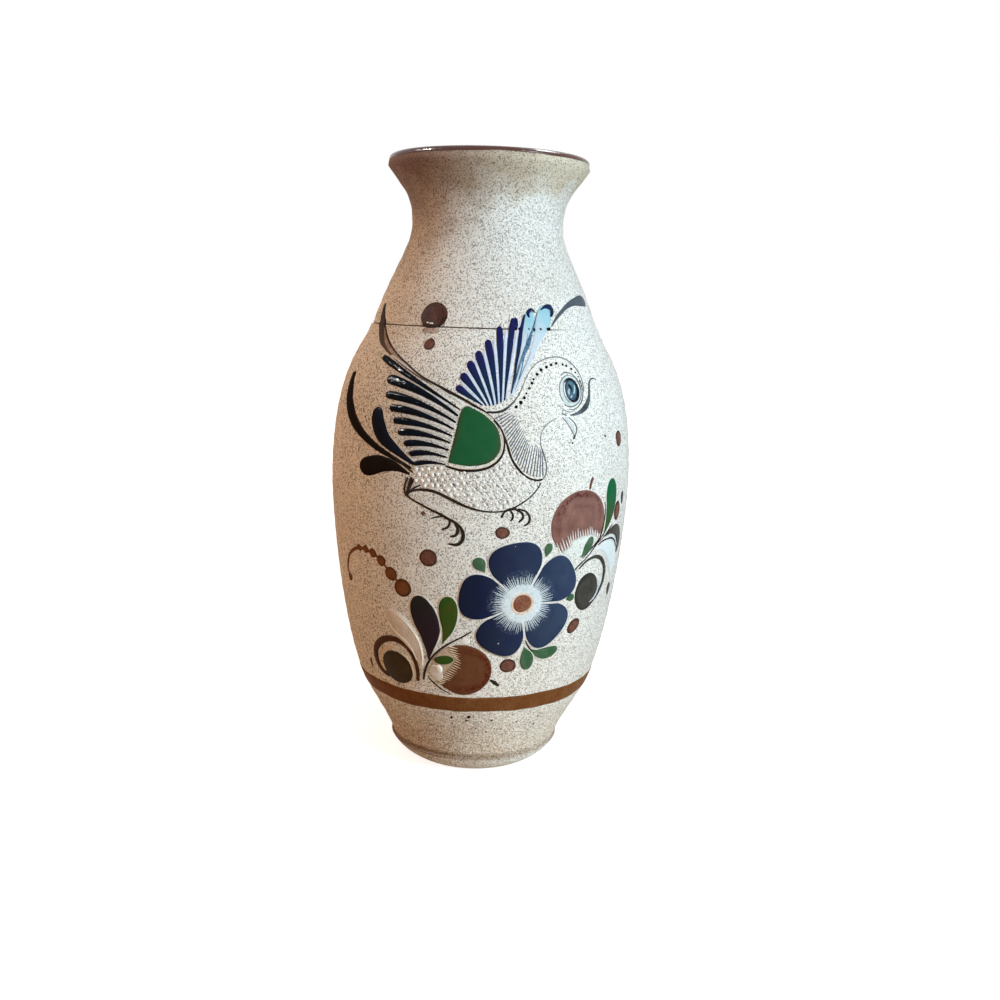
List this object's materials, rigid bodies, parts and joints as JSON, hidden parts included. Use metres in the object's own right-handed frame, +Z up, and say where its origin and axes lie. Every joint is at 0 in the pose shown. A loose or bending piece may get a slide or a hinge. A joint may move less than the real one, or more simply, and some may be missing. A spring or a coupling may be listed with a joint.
{
  "type": "stoneware vase",
  "caption": "Tall stoneware flower vase with a swelling body, narrow neck and flared lip, glazed inside and decorated with raised enamels of a flying bird over a flowering spray.",
  "frame": {"origin": "on the axis, in the plane that the foot rests on", "axes": "+Z up the axis to the lip, -Y towards the middle of the decorated side, +X to its right"},
  "size_m": [0.1492, 0.15, 0.3],
  "materials": {
    "stoneware": "unglazed, sandy matte with fine dark and pale grog speckle",
    "liner": "glossy brown glaze",
    "brown": "semi-matte brown slip",
    "navy": "glossy raised enamel",
    "green": "glossy raised enamel",
    "white": "glossy raised enamel, partly clear",
    "charcoal": "glossy raised enamel"
  },
  "bodies": {
    "root": {"lower_section": "stoneware", "luting_slip": "stoneware", "upper_section": "stoneware", "liner_glaze": "liner", "lip_glaze": "liner", "foot_band": "brown", "left_wing_edge_feather": "charcoal", "right_wing_edge_feather": "charcoal", "tail_feather_1": "charcoal", "tail_feather_2": "navy", "tail_feather_3": "charcoal", "beak": "charcoal", "neck_line": "charcoal", "breast_line": "charcoal", "belly_line": "charcoal", "stem": "charcoal", "left_navy_leaf": "navy", "left_green_leaf": "green", "left_white_leaf": "white", "lower_fruit": "brown", "upper_fruit": "brown", "right_green_leaf": "green", "right_dark_leaf": "charcoal", "right_white_leaf": "white", "leaflet_1": "green", "leaflet_2": "green", "leaflet_3": "green", "leaflet_4": "green", "leaflet_5": "green", "left_wing_feather_1": "charcoal", "left_wing_feather_2": "charcoal", "left_wing_feather_3": "charcoal", "left_wing_feather_4": "charcoal", "left_wing_feather_5": "charcoal", "left_wing_feather_6": "charcoal", "left_wing_feather_7": "charcoal", "left_wing_feather_8": "charcoal", "left_wing_feather_9": "charcoal", "right_wing_feather_1": "navy", "right_wing_feather_2": "navy", "right_wing_feather_3": "navy", "right_wing_feather_4": "navy", "right_wing_feather_5": "navy", "right_wing_feather_6": "navy", "right_wing_feather_7": "navy", "right_wing_feather_8": "navy", "right_wing_feather_9": "navy", "wing_patch": "green", "petal_1": "navy", "petal_2": "navy", "petal_3": "navy", "petal_4": "navy", "petal_5": "navy", "flower_halo": "white", "flower_eye": "brown", "left_scroll": "charcoal", "right_scroll": "charcoal", "bead_tendril": "brown", "seam_disc": "brown", "bird_eye": "charcoal"}
  },
  "joints": []
}
